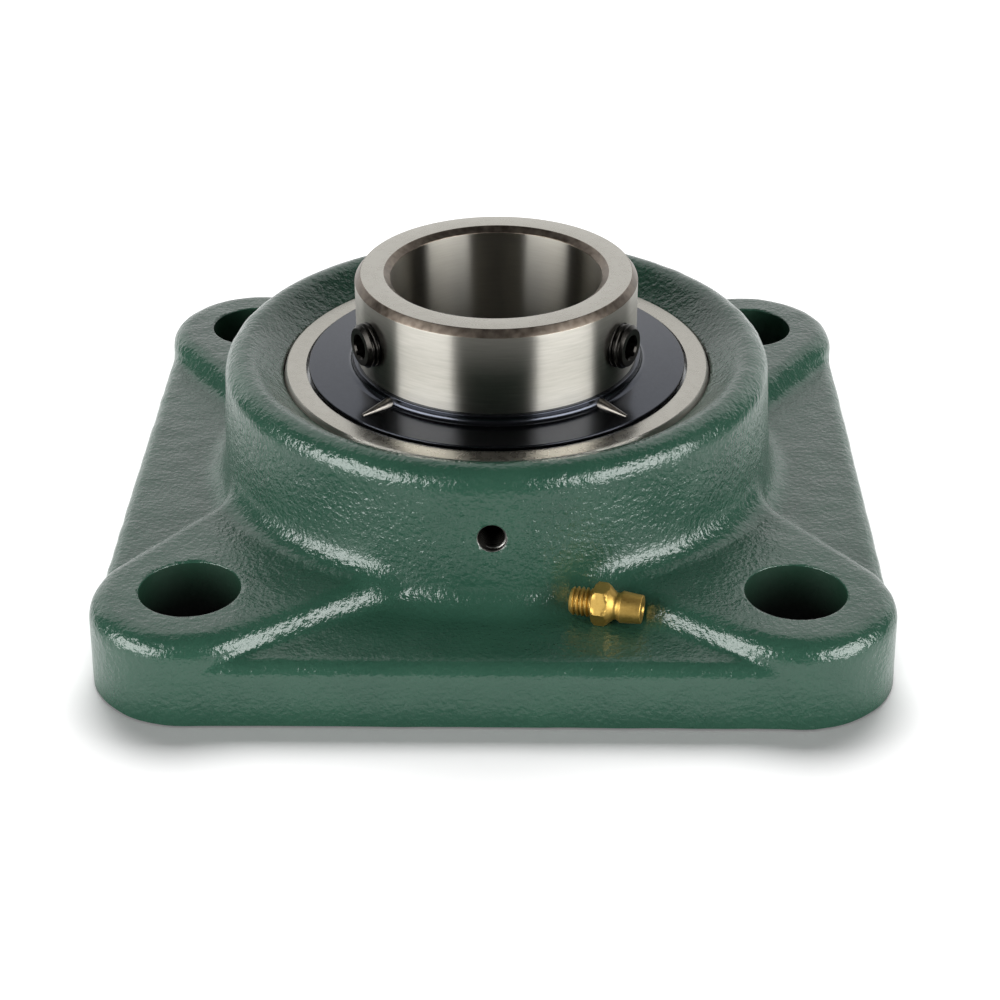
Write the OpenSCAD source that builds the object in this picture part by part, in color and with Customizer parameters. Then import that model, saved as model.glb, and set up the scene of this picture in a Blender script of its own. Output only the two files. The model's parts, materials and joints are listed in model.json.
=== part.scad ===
// Four-bolt flange bearing unit: cast housing, self-aligning ball insert, set screws and grease nipple.
// Millimetres. Z runs up the shaft axis; the origin is on that axis, on the flange's mounting face.

/* [Flange] */
// Distance between bolt hole centres, both ways
bolt_spacing = 102; // [98:0.5:110]
// Diameter of each bolt hole
bolt_hole_d = 17.2; // [11:0.1:19]
// Radius of each flange corner, centred on its bolt hole
corner_r = 17.5; // [15:0.1:20]
// Thickness of the flange between the arms
plate_t = 12; // [9:0.1:14]
// Height of the bolt pads and arms above the mounting face
pad_h = 16; // [14.5:0.1:20]
// Rounding of the plate's upper edge
plate_edge_r = 2.6; // [1:0.1:4]
// Rounding of the arms' and pads' upper edge
pad_edge_r = 3.8; // [1:0.1:5]
// How much each flange side leans in from foot to top
side_draft = 0.4; // [0:0.05:1.5]
// Half width of each arm where it meets the wall
arm_root_half_w = 22; // [19:0.1:25]

/* [Wall and rim] */
// Diameter of the round wall just below the rim
wall_d = 99.4; // [96:0.1:106]
// Growth of the wall's radius for each millimetre downwards
wall_draft = 0.06; // [0:0.005:0.1]
// Height of the rim above the mounting face
rim_h = 37.6; // [36:0.1:42]
// Rounding of the rim's outer edge
rim_r = 4; // [2:0.1:5]
// Fillet between the wall and the plate
wall_fillet_r = 3.5; // [1:0.1:5]
// Fillet between the wall and each arm
arm_fillet_r = 4; // [1:0.1:6]
// Radius of the pocket behind the bearing
back_pocket_r = 40; // [39.5:0.1:42]
// Depth of the pocket behind the bearing
back_pocket_h = 11; // [8:0.1:12]

/* [Grease port] */
// Tap drill diameter of the grease port
port_d = 4.2; // [4:0.1:5]
// Height of the grease port
port_z = 25.5; // [24:0.1:28]
// Width of the countersink around the port
port_chamfer = 0.5; // [0.2:0.1:1]

/* [Bearing insert] */
// Shaft bore diameter
bore_d = 38.1; // [35:0.1:41]
// Outside diameter of the inner ring
ring_od = 51; // [48:0.1:52.5]
// Length of the inner ring
inner_ring_l = 49.2; // [46:0.1:54]
// Length of the inner ring below the bearing's centre
inner_ring_below = 20.7; // [18:0.1:21.5]
// Diameter of the outer ring's sphere
insert_d = 80; // [79:0.1:81]
// Width of the outer ring
outer_ring_w = 21; // [20:0.1:22]
// Height of the bearing's centre above the mounting face
centre_h = 23.2; // [22.6:0.1:25]
// Width of the outer ring's flat face
ring_face_w = 3.7; // [3:0.1:4]
// Broken edge of the outer ring's faces
ring_edge = 0.2; // [0.1:0.05:0.5]
// Chamfer of the bore's ends
bore_chamfer = 1.2; // [0.4:0.1:1.6]
// Chamfer of the inner ring's outer edges
ring_chamfer = 1; // [0.3:0.1:1.4]
// Ball diameter
ball_d = 11.9; // [11.2:0.1:12.3]
// Sheet thickness of the cage
cage_t = 0.7; // [0.5:0.05:0.9]
// Width of the cage's ribbon
cage_w = 4.6; // [3.4:0.1:5]
// Rivet shank diameter
rivet_d = 1.5; // [1:0.1:1.8]

/* [Seals and flingers] */
// Sheet thickness of the seal plates
seal_t = 0.8; // [0.5:0.05:1]
// Sheet thickness of the flinger discs
flinger_t = 0.8; // [0.5:0.05:1]
// How far the front flinger's collar stands above its disc
collar_h = 1.7; // [0.6:0.1:2.4]
// Width of the flinger's collar with its fillet
collar_w = 1.9; // [1:0.1:2.4]
// How high the flinger's ribs stand above its disc, at the collar
rib_h = 1.3; // [0.5:0.05:1.5]
// How far the flinger's disc stands out of the outer ring's face
flinger_proud = 0.5; // [0.1:0.05:0.6]

/* [Set screws] */
// Set screw diameter
screw_d = 8; // [6:0.5:9]
// Set screw length
screw_l = 8; // [6.6:0.1:10]
// How far each set screw stands out of the inner ring
screw_proud = 2.2; // [1.6:0.1:3]
// Distance from the inner ring's end to the screws' centres
screw_inset = 8.7; // [7:0.1:9.5]
// Width across flats of the screws' sockets
socket_af = 4; // [3:0.1:4.5]

/* [Grease nipple] */
// Nipple thread diameter
nipple_thread_d = 4.9; // [4.6:0.1:5.1]
// Width across flats of the nipple's hexagon
nipple_af = 6.4; // [6:0.1:7]
// Length of the nipple
nipple_l = 12.3; // [12:0.1:14]

/* [Clearances] */
// Gap between the outer ring's sphere and its seat
seat_gap = 0.05; // [0.02:0.01:0.1]
// Gap between the balls and the raceways
race_gap = 0.05; // [0.02:0.01:0.08]
// Gap between a ball and its cage pocket
pocket_gap = 0.15; // [0.1:0.01:0.25]
// Gap between the seal lips and the inner ring
lip_gap = 0.05; // [0.02:0.01:0.1]
// Gap between each flinger's rim and the outer ring
flinger_gap = 0.5; // [0.3:0.05:0.6]
// Gap between each set screw and its hole
screw_gap = 0.05; // [0.02:0.01:0.1]
// Gap below the resting nipple
rest_gap = 0.05; // [0.02:0.01:0.2]

/* [Hidden] */
$fn = 64;
ball_count = 9;
screw_angle = 60;
half_w = outer_ring_w / 2;
half_pitch = bolt_spacing / 2;
pad_s = half_pitch * sqrt(2);
ring_r = ring_od / 2;
sphere_r = insert_d / 2;
seat_r = sphere_r + seat_gap;
face_r = sqrt(sphere_r * sphere_r - half_w * half_w);
rebate_r = face_r - ring_face_w;
rebate_depth = 3.1;
shoulder = half_w - rebate_depth;
land_r = rebate_r - 0.7;
pitch_r = (ring_r + land_r) / 2;
ball_r = ball_d / 2;
race_r = ball_r * 1.04;
pocket_r = ball_r + pocket_gap;
shell_r = pocket_r + cage_t;
inner_race_centre = pitch_r - ball_r - race_gap + race_r;
outer_race_centre = pitch_r + ball_r + race_gap - race_r;
lube_z = shoulder - 1.6;
ring_bottom = centre_h - inner_ring_below;
ring_top = ring_bottom + inner_ring_l;
screw_z = ring_top - screw_inset;
rim_base = rim_h - rim_r;
seat_front = centre_h + half_w - 0.6;
band_r = sqrt(seat_r * seat_r - (seat_front - centre_h) * (seat_front - centre_h)) + 0.5;
seal_lip_w = 1.6;
seal_plate_in = ring_r + 1;
seal_z = shoulder;
flinger_z = half_w + flinger_proud - flinger_t;
slot_w = outer_ring_w + 0.8;
nipple_hex_start = 4;
nipple_hex_end = 6.6;
nipple_neck_r = 2.1;
nipple_neck_u = 7.9;
nipple_head_r = 2.7;
nipple_tip_r = 2.4;
check_ball_r = 1.05;
chamber_r = 1.25;
tip_hole_r = 0.85;
lip_hole_r = 0.8;
seat_u = nipple_l - 1.7;
check_u = seat_u - 0.17;
nipple_yaw = -14;
nipple_pos = [13.2, -wall_r(plate_t) - 1.9, plate_t + nipple_af / 2 + rest_gap];

green = [0.20, 0.36, 0.29];
steel = [0.80, 0.79, 0.77];
dark = [0.24, 0.25, 0.27];
black = [0.07, 0.07, 0.07];
brass = [0.80, 0.62, 0.25];

// Wall radius at a height
function wall_r(z) = wall_d / 2 + (rim_base - z) * wall_draft;

// Round post with a leaning side and a rounded upper edge
module puck(r, h, e) {
    rotate_extrude($fn = 32)
        polygon(concat([[0, 0], [r, 0]],
            [for (a = [0:15:90]) [r - side_draft - e + e * cos(a), h - e + e * sin(a)]],
            [[0, h]]));
}

// Flange between the arms
module flange_plate() {
    hull()
        for (x = [-1, 1], y = [-1, 1])
            translate([x * half_pitch, y * half_pitch, 0])
                puck(corner_r - 0.15, plate_t, plate_edge_r);
}

// One bolt pad with the arm that joins it to the wall
module arm() {
    root_s = 46;
    root_r = pad_edge_r + side_draft + 1;
    hull() {
        translate([pad_s, 0, 0])
            puck(corner_r, pad_h, pad_edge_r);
        for (side = [-1, 1])
            translate([root_s, side * (arm_root_half_w - root_r), 0])
                puck(root_r, pad_h, pad_edge_r);
    }
}

// Round wall with its rim and the fillet at its foot
module wall() {
    foot_r = wall_r(plate_t);
    rotate_extrude() {
        polygon([[36, 0], [wall_r(0), 0], [wall_r(rim_base), rim_base], [wall_r(rim_base) - rim_r, rim_h],
            [wall_r(rim_base) - rim_r - 1, rim_h - 0.3], [band_r + 3.7, seat_front + 2.4],
            [band_r, seat_front], [36, seat_front]]);
        translate([wall_r(rim_base) - rim_r, rim_base])
            intersection() {
                circle(r = rim_r);
                square(rim_r);
            }
        difference() {
            translate([foot_r - 1, plate_t - 1])
                square([wall_fillet_r + 1, wall_fillet_r + 1]);
            translate([foot_r + wall_fillet_r, plate_t + wall_fillet_r])
                circle(r = wall_fillet_r);
        }
    }
}

// Blends from the arms' tops into the wall
module arm_blends() {
    foot_r = wall_r(pad_h);
    flat_half_w = arm_root_half_w - pad_edge_r - 1.5;
    intersection() {
        rotate_extrude()
            difference() {
                translate([foot_r - 1, pad_h - 1])
                    square([arm_fillet_r + 1, arm_fillet_r + 1]);
                translate([foot_r + arm_fillet_r, pad_h + arm_fillet_r])
                    circle(r = arm_fillet_r);
            }
        for (a = [45:90:315])
            rotate([0, 0, a])
                translate([30, -flat_half_w, 0])
                    cube([35, 2 * flat_half_w, rim_h]);
    }
}

// Cast housing with its seat, bolt holes, grease port and its pocket, grease groove and loading slots
module housing() {
    color(green)
        difference() {
            union() {
                flange_plate();
                for (a = [45:90:315])
                    rotate([0, 0, a])
                        arm();
                wall();
                arm_blends();
            }
            translate([0, 0, -1])
                cylinder(r = 37.5, h = rim_h + 2);
            translate([0, 0, -1])
                cylinder(r = back_pocket_r, h = back_pocket_h + 1);
            translate([0, 0, centre_h])
                sphere(r = seat_r, $fn = 96);
            translate([0, 0, centre_h + lube_z - 2.8])
                cylinder(r = seat_r + 1.2, h = 4.6);
            translate([-seat_r - 0.15, -slot_w / 2, -1])
                cube([2 * seat_r + 0.3, slot_w, centre_h + 1]);
            for (x = [-1, 1], y = [-1, 1])
                translate([x * half_pitch, y * half_pitch, -1])
                    cylinder(d = bolt_hole_d, h = pad_h + 2);
            translate([0, -seat_r + 2, port_z])
                rotate([90, 0, 0])
                    cylinder(d = port_d, h = 20);
            translate([0, -seat_r + 2, port_z])
                rotate([90, 0, 0])
                    cylinder(r = port_d / 2 + 0.8, h = 3.3);
            translate([0, -wall_r(port_z) + port_chamfer, port_z])
                rotate([90, 0, 0])
                    cylinder(r1 = port_d / 2, r2 = port_d / 2 + 2 * port_chamfer, h = 2 * port_chamfer);
        }
}

// Outer ring with a spherical outside, raceway, seal rebates and lubrication holes
module outer_ring() {
    color(steel)
        translate([0, 0, centre_h])
            difference() {
                rotate_extrude()
                    difference() {
                        intersection() {
                            circle(r = sphere_r, $fn = 96);
                            polygon([[land_r, -half_w], [face_r - ring_edge, -half_w], [sphere_r + 1, 3 - half_w],
                                [sphere_r + 1, half_w - 3], [face_r - ring_edge, half_w], [land_r, half_w]]);
                        }
                        translate([outer_race_centre, 0])
                            circle(r = race_r);
                        for (side = [-1, 1])
                            translate([land_r - 1, side > 0 ? shoulder : -half_w - 1])
                                square([rebate_r - land_r + 1, rebate_depth + 1]);
                    }
                translate([0, 0, lube_z])
                    rotate([90, 0, 0])
                        cylinder(r = 1.1, h = 2 * sphere_r + 2, center = true);
            }
}

// Extended inner ring with the shaft bore, raceway and two tapped holes
module inner_ring() {
    bore_r = bore_d / 2;
    color(steel)
        difference() {
            rotate_extrude()
                difference() {
                    polygon([[bore_r + bore_chamfer, ring_bottom], [ring_r - ring_chamfer, ring_bottom],
                        [ring_r, ring_bottom + ring_chamfer], [ring_r, ring_top - 1.3 * ring_chamfer],
                        [ring_r - ring_chamfer, ring_top], [bore_r + bore_chamfer, ring_top],
                        [bore_r, ring_top - 0.8 * bore_chamfer], [bore_r, ring_bottom + 0.8 * bore_chamfer]]);
                    translate([inner_race_centre, centre_h])
                        circle(r = race_r);
                }
            for (side = [-1, 1])
                rotate([0, 0, -90 + side * screw_angle])
                    translate([bore_r - 3, 0, screw_z])
                        rotate([0, 90, 0])
                            cylinder(r = screw_d / 2 + screw_gap, h = ring_r);
        }
}

// One ball, counted anticlockwise from the front
module ball(k) {
    color(steel)
        rotate([0, 0, -90 + k * 360 / ball_count])
            translate([pitch_r, 0, centre_h])
                sphere(r = ball_r);
}

module ball_1() { ball(0); }
module ball_2() { ball(1); }
module ball_3() { ball(2); }
module ball_4() { ball(3); }
module ball_5() { ball(4); }
module ball_6() { ball(5); }
module ball_7() { ball(6); }
module ball_8() { ball(7); }
module ball_9() { ball(8); }

// Ribbon half of the cage above its joint face
module cage_half() {
    color(steel)
        difference() {
            intersection() {
                difference() {
                    cylinder(r = pitch_r + cage_w / 2, h = shell_r);
                    translate([0, 0, -1])
                        cylinder(r = pitch_r - cage_w / 2, h = shell_r + 2);
                }
                union() {
                    cylinder(r = pitch_r + cage_w, h = cage_t);
                    for (k = [0:ball_count - 1])
                        rotate([0, 0, -90 + k * 360 / ball_count])
                            translate([pitch_r, 0, 0])
                                sphere(r = shell_r);
                }
            }
            for (k = [0:ball_count - 1])
                rotate([0, 0, -90 + k * 360 / ball_count]) {
                    translate([pitch_r, 0, 0])
                        sphere(r = pocket_r);
                    rotate([0, 0, 180 / ball_count])
                        translate([pitch_r, 0, -1])
                            cylinder(d = rivet_d + 0.04, h = cage_t + 2);
                }
        }
}

module cage_front() {
    translate([0, 0, centre_h])
        cage_half();
}

module cage_rear() {
    translate([0, 0, centre_h])
        mirror([0, 0, 1])
            cage_half();
}

// Nine rivets through both cage halves
module cage_rivets() {
    head_h = 0.5;
    color(steel)
        for (k = [0:ball_count - 1])
            rotate([0, 0, -90 + (k + 0.5) * 360 / ball_count])
                translate([pitch_r, 0, centre_h]) {
                    cylinder(d = rivet_d, h = 2 * cage_t + 0.2, center = true);
                    for (side = [-1, 1])
                        translate([0, 0, side * (cage_t + head_h / 2)])
                            cylinder(d = rivet_d * 1.7, h = head_h, center = true);
                }
}

// Steel core of a seal, with its rim turned up against the outer ring
module seal_plate() {
    color(dark)
        rotate_extrude()
            polygon([[seal_plate_in, seal_z], [rebate_r - 0.02, seal_z], [rebate_r - 0.02, seal_z + seal_t + 0.6],
                [rebate_r - 0.7, seal_z + seal_t + 0.6], [rebate_r - 0.7, seal_z + seal_t],
                [seal_plate_in, seal_z + seal_t]]);
}

// Rubber lip around the inner edge of a seal's core
module seal_lip() {
    color(black)
        rotate_extrude()
            difference() {
                translate([ring_r + lip_gap, seal_z - 0.45])
                    square([seal_lip_w, seal_t + 0.9]);
                translate([seal_plate_in, seal_z])
                    square([seal_lip_w + 1, seal_t]);
            }
}

module front_seal_plate() {
    translate([0, 0, centre_h])
        seal_plate();
}

module front_seal_lip() {
    translate([0, 0, centre_h])
        seal_lip();
}

module rear_seal_plate() {
    translate([0, 0, centre_h])
        mirror([0, 0, 1])
            seal_plate();
}

module rear_seal_lip() {
    translate([0, 0, centre_h])
        mirror([0, 0, 1])
            seal_lip();
}

// Tapered ribs pressed up out of the flinger's disc, from the collar outwards
module flinger_ribs(rise) {
    rib_start = ring_r + 0.3;
    rib_end = rebate_r - flinger_gap - 1.7;
    intersection() {
        translate([0, 0, flinger_z + flinger_t / 2])
            cylinder(h = 5, r = rebate_r);
        for (turn = [45:90:315])
            rotate([0, 90, turn])
                translate([-flinger_z - flinger_t, 0, rib_start])
                    cylinder(h = rib_end - rib_start, r1 = min(rib_h, rise - 0.1), r2 = 0.3);
    }
}

// Pressed disc that turns with the inner ring, with a collar that grips it
module flinger(rise) {
    disc_top = flinger_z + flinger_t;
    disc_r = rebate_r - flinger_gap;
    grip_r = ring_r + 0.01;
    neck_r = grip_r + flinger_t;
    fillet_r = min(collar_w - flinger_t, rise - 0.3);
    fillet = [for (turn = [0:15:90])
        [neck_r + fillet_r * (1 - sin(turn)), disc_top + fillet_r * (1 - cos(turn))]];
    color(dark) {
        rotate_extrude()
            polygon(concat([[grip_r, flinger_z], [disc_r, flinger_z], [disc_r, disc_top - 0.2],
                [disc_r - 0.2, disc_top]], fillet, [[neck_r, disc_top + rise - 0.2],
                [neck_r - 0.2, disc_top + rise], [grip_r, disc_top + rise]]));
        flinger_ribs(rise);
    }
}

module front_flinger() {
    translate([0, 0, centre_h])
        flinger(collar_h);
}

module rear_flinger() {
    translate([0, 0, centre_h])
        mirror([0, 0, 1])
            flinger(collar_h / 2);
}

// Cup-point set screw with a hexagon socket, standing in the inner ring
module set_screw(side) {
    screw_r = screw_d / 2;
    edge = 0.6;
    color(black)
        rotate([0, 0, -90 + side * screw_angle])
            translate([ring_r + screw_proud - screw_l, 0, screw_z])
                rotate([0, 90, 0])
                    difference() {
                        rotate_extrude()
                            polygon([[0, 0], [screw_r - 1.4, 0], [screw_r, 1.4], [screw_r, screw_l - edge],
                                [screw_r - edge, screw_l], [0, screw_l]]);
                        translate([0, 0, -0.01])
                            cylinder(r1 = screw_r - 1.8, r2 = 0, h = 1.2);
                        translate([0, 0, screw_l - 3.6])
                            cylinder(d = socket_af / cos(30), h = 4, $fn = 6);
                    }
}

module set_screw_left() { set_screw(-1); }
module set_screw_right() { set_screw(1); }

// Puts a shape drawn along Z into the resting nipple's place
module nipple_place() {
    translate(nipple_pos)
        rotate([0, 0, nipple_yaw])
            rotate([0, 90, 0])
                children();
}

// Brass body of the grease nipple: thread, hexagon, waisted neck and tapered head
module nipple_body() {
    thread_r = nipple_thread_d / 2;
    hex_r = nipple_af / 2 / cos(30);
    color(brass)
        nipple_place()
            difference() {
                union() {
                    rotate_extrude()
                        polygon([[0, 0], [thread_r - 0.5, 0], [thread_r, 0.5], [thread_r, nipple_hex_start + 0.5],
                            [nipple_af / 2 - 0.1, nipple_hex_end - 0.5], [nipple_af / 2 - 0.1, nipple_hex_end],
                            [nipple_neck_r, nipple_neck_u - 0.15], [nipple_neck_r, nipple_neck_u + 0.15],
                            [nipple_head_r, nipple_neck_u + 0.9], [nipple_tip_r, nipple_l - 0.2],
                            [nipple_tip_r - 0.2, nipple_l], [0, nipple_l]]);
                    intersection() {
                        rotate([0, 0, 30])
                            translate([0, 0, nipple_hex_start])
                                cylinder(r = hex_r, h = nipple_hex_end - nipple_hex_start, $fn = 6);
                        rotate_extrude()
                            polygon([[0, nipple_hex_start], [hex_r - 0.4, nipple_hex_start],
                                [hex_r + 0.1, nipple_hex_start + 0.4], [hex_r + 0.1, nipple_hex_end - 0.6],
                                [hex_r - 0.6, nipple_hex_end], [0, nipple_hex_end]]);
                    }
                }
                translate([0, 0, -1])
                    cylinder(r = lip_hole_r, h = 3);
                translate([0, 0, 1])
                    cylinder(r = chamber_r, h = seat_u - 1);
                translate([0, 0, seat_u])
                    cylinder(r1 = chamber_r, r2 = tip_hole_r, h = 0.5);
                translate([0, 0, seat_u + 0.4])
                    cylinder(r = tip_hole_r, h = 3);
            }
}

// Check ball of the nipple, closed against its seat
module nipple_check_ball() {
    color(steel)
        nipple_place()
            translate([0, 0, check_u])
                sphere(r = check_ball_r);
}

// Coil spring behind the check ball; its section is drawn in polar form so that the wire comes out round
module nipple_spring() {
    wire_r = 0.14;
    turns = 7;
    coil_r = chamber_r - wire_r - 0.1;
    low = 1 + wire_r + 0.06;
    high = check_u - sqrt(check_ball_r * check_ball_r - coil_r * coil_r) - 2 * wire_r - 0.05;
    spread = wire_r * 360 * turns / (high - low);
    color(steel)
        nipple_place()
            translate([0, 0, low])
                linear_extrude(height = high - low, twist = -360 * turns, slices = 112, $fn = 6)
                    polygon([for (a = [0:60:300])
                        (coil_r + wire_r * cos(a)) * [cos(spread * sin(a)), sin(spread * sin(a))]]);
}

housing();
outer_ring();
inner_ring();
ball_1();
ball_2();
ball_3();
ball_4();
ball_5();
ball_6();
ball_7();
ball_8();
ball_9();
cage_front();
cage_rear();
cage_rivets();
front_seal_plate();
front_seal_lip();
rear_seal_plate();
rear_seal_lip();
front_flinger();
rear_flinger();
set_screw_left();
set_screw_right();
nipple_body();
nipple_check_ball();
nipple_spring();
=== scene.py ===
import json
import math

import bmesh
import bpy
import numpy as np
import openvdb
from mathutils import Matrix, Vector


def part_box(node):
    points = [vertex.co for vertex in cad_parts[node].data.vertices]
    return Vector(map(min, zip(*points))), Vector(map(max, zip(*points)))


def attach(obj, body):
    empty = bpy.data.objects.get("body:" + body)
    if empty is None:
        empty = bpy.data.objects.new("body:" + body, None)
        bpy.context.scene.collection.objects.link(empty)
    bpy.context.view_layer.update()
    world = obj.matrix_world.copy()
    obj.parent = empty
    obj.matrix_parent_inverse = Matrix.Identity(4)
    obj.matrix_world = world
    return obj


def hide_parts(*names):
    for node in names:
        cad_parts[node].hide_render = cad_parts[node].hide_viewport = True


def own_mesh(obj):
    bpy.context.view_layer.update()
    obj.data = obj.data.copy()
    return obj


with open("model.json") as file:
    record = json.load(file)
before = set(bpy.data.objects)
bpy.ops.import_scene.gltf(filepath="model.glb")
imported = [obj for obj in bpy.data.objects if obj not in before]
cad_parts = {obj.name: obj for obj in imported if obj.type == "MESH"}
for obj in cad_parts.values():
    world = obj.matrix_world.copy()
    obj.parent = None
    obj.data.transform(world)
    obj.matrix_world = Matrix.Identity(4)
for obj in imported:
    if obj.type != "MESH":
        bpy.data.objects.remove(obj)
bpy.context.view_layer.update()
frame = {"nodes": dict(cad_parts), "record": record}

# Sizes read from the frame, in millimetres
MM = 0.001


def box_mm(node_name):
    """Gives the low and high corners of a solid's box."""
    low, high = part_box(node_name)
    return np.array(low) / MM, np.array(high) / MM


MOUNTS = {mount["name"]: mount for mount in frame["record"]["mounts"]}
BOLT_HALF = MOUNTS["bolt_holes"]["dims"]["spacing_x_mm"] / 2
BOLT_HOLE_R = MOUNTS["bolt_holes"]["dims"]["hole_r_mm"]
BORE_R = MOUNTS["shaft_bore"]["dims"]["r_mm"]
PORT_R = MOUNTS["grease_port"]["dims"]["r_mm"]
PORT_Z = MOUNTS["grease_port"]["pos_m"][2] / MM
HOUSING_HIGH = box_mm("housing")[1]
RING_LOW, RING_HIGH = box_mm("inner_ring")
OUTER_LOW, OUTER_HIGH = box_mm("outer_ring")
FLANGE_HALF = HOUSING_HIGH[0]
RIM_H = HOUSING_HIGH[2]
RING_R = RING_HIGH[0]
RING_BOTTOM = RING_LOW[2]
RING_TOP = RING_HIGH[2]
SPHERE_R = OUTER_HIGH[0]
CENTRE_H = (OUTER_LOW[2] + OUTER_HIGH[2]) / 2
OUTER_HALF_W = (OUTER_HIGH[2] - OUTER_LOW[2]) / 2

# Sizes of the casting
PLATE_T = 12.0
PAD_H = 16.0
PLATE_EDGE_R = 2.6
PAD_EDGE_R = 3.8
SIDE_DRAFT = 0.4
CORNER_R = FLANGE_HALF - BOLT_HALF
ARM_ROOT_HALF_W = 22.0
ARM_ROOT_S = 46.0
WALL_R = 49.7
WALL_DRAFT = 0.06
RIM_R = 4.0
ARM_FOOT_R = 2.0
WALL_FOOT_R = 4.2
SEAT_R = SPHERE_R + 0.05
SEAT_BACK_R = 37.5
GREASE_GROOVE_DEPTH = 1.2
GREASE_GROOVE_W = 4.6
BOLT_EDGE_R = 0.25
MOUTH_R = 39.15
BACK_POCKET_R = 40.0
BACK_POCKET_H = 11.0
BAND_LOW = (39.3, 33.1)
BAND_HIGH = (43.0, 35.5)
SLOPE_HIGH = (44.7, 37.3)

# Sizes of the insert
RING_FACE_W = 3.7
RING_EDGE = 0.2
SEAL_REBATE_DEPTH = 3.1
BALL_R = box_mm("ball_1")[1][2] - CENTRE_H
FACE_R = math.sqrt(SPHERE_R ** 2 - OUTER_HALF_W ** 2)
REBATE_R = FACE_R - RING_FACE_W
LAND_R = REBATE_R - 0.7
PITCH_R = (RING_R + LAND_R) / 2
RACE_R = BALL_R * 1.04
RACE_GAP = 0.05
FLINGER_T = 0.8
FLINGER_GAP = 0.5
FLINGER_PROUD = 0.5
COLLAR_W = 1.9
COLLAR_H = 1.7
RIB_H = 1.3

# Sizes of the set screws and the grease nipple
SCREW_R = 4.0
SCREW_L = 8.0
SCREW_PROUD = 2.2
SCREW_Z = (box_mm("set_screw_left")[0][2] + box_mm("set_screw_left")[1][2]) / 2
SCREW_ANGLE = 60.0
SCREW_PITCH = 1.0
SOCKET_AF = 4.0
NIPPLE_L = 12.3
NIPPLE_THREAD_R = 2.45
NIPPLE_PITCH = 0.8
NIPPLE_AF = 6.4
NIPPLE_YAW = -14.0
NIPPLE_LOW, NIPPLE_HIGH = box_mm("nipple_body")
SPRING_COIL_R = 1.01
SPRING_WIRE_R = 0.14
SPRING_LOW = 1.2
SPRING_HIGH = 9.8
SPRING_TURNS = 7


# Colour and node helpers
def linear(hex_colour):
    """Turns an sRGB hex colour into the linear colour that a shader takes."""
    channels = [int(hex_colour[i:i + 2], 16) / 255 for i in (1, 3, 5)]
    return [c / 12.92 if c <= 0.04045 else ((c + 0.055) / 1.055) ** 2.4 for c in channels] + [1.0]


def per(size_mm):
    """Gives the texture scale at which a pattern repeats about every size_mm."""
    return 1 / (size_mm * MM)


def add(tree, kind, inputs=None, **settings):
    """Adds a node with its settings, and its inputs as values or links."""
    made = tree.nodes.new(kind)
    for key, value in settings.items():
        setattr(made, key, value)
    for key, value in (inputs or {}).items():
        if isinstance(value, bpy.types.NodeSocket):
            tree.links.new(value, made.inputs[key])
        else:
            made.inputs[key].default_value = value
    return made


def start_material(name, **values):
    """Makes a material and returns it with its tree, its shader and its Object coordinates."""
    made = bpy.data.materials.new(name)
    made.use_nodes = True
    tree = made.node_tree
    shader = tree.nodes["Principled BSDF"]
    for key, value in values.items():
        shader.inputs[key.replace("_", " ")].default_value = value
    spot = add(tree, "ShaderNodeTexCoord").outputs["Object"]
    return made, tree, shader, spot


# Materials
def green_enamel():
    """Alkyd enamel sprayed over sand-cast iron: a soft gloss that follows the lumps of the sand."""
    made, tree, shader, spot = start_material("green_enamel_on_sand_casting", IOR=1.6)
    lumps = add(tree, "ShaderNodeTexNoise", {"Vector": spot, "Scale": per(1.0), "Detail": 2.4,
                                             "Roughness": 0.6})
    height = add(tree, "ShaderNodeSeparateXYZ", {0: spot}).outputs["Z"]
    wall_foot = add(tree, "ShaderNodeMapRange", {"Value": height, "From Min": (PAD_H + 0.5) * MM,
                                                 "From Max": (PAD_H + 5) * MM, "To Min": 0.62})
    wall_top = add(tree, "ShaderNodeMapRange", {"Value": height, "From Min": (RIM_H - 3) * MM,
                                                "From Max": (RIM_H - 8) * MM, "To Min": 0.62})
    depth = add(tree, "ShaderNodeMath", {0: wall_foot.outputs[0], 1: wall_top.outputs[0]},
                operation="MINIMUM")
    swell = add(tree, "ShaderNodeTexNoise", {"Vector": spot, "Scale": per(9.0), "Detail": 2.0})
    tint = add(tree, "ShaderNodeMix", {"Factor": swell.outputs["Fac"], "A": linear("#2a4f40"),
                                       "B": linear("#335b49")}, data_type="RGBA")
    tree.links.new(tint.outputs["Result"], shader.inputs["Base Color"])
    gloss = add(tree, "ShaderNodeMapRange", {"Value": swell.outputs["Fac"], "To Min": 0.17, "To Max": 0.25})
    tree.links.new(gloss.outputs["Result"], shader.inputs["Roughness"])
    relief = add(tree, "ShaderNodeBump", {"Height": lumps.outputs["Fac"], "Strength": depth.outputs[0],
                                          "Distance": 0.36 * MM})
    tree.links.new(relief.outputs["Normal"], shader.inputs["Normal"])
    return made


def hole_enamel():
    """The same enamel down a cored hole, painted darker towards the bottom as painted shade."""
    made, tree, shader, spot = start_material("thin_enamel_in_cored_hole", IOR=1.3, Roughness=0.6)
    height = add(tree, "ShaderNodeSeparateXYZ", {0: spot}).outputs["Z"]
    depth = add(tree, "ShaderNodeMapRange", {"Value": height, "From Min": 0.006, "From Max": 0.0155})
    tint = add(tree, "ShaderNodeMix", {"Factor": depth.outputs["Result"], "A": linear("#050705"),
                                       "B": linear("#193a2a")}, data_type="RGBA")
    tree.links.new(tint.outputs["Result"], shader.inputs["Base Color"])
    lumps = add(tree, "ShaderNodeTexNoise", {"Vector": spot, "Scale": per(2.0), "Detail": 2.0})
    relief = add(tree, "ShaderNodeBump", {"Height": lumps.outputs["Fac"], "Strength": 0.6,
                                          "Distance": 0.2 * MM})
    tree.links.new(relief.outputs["Normal"], shader.inputs["Normal"])
    return made


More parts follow.
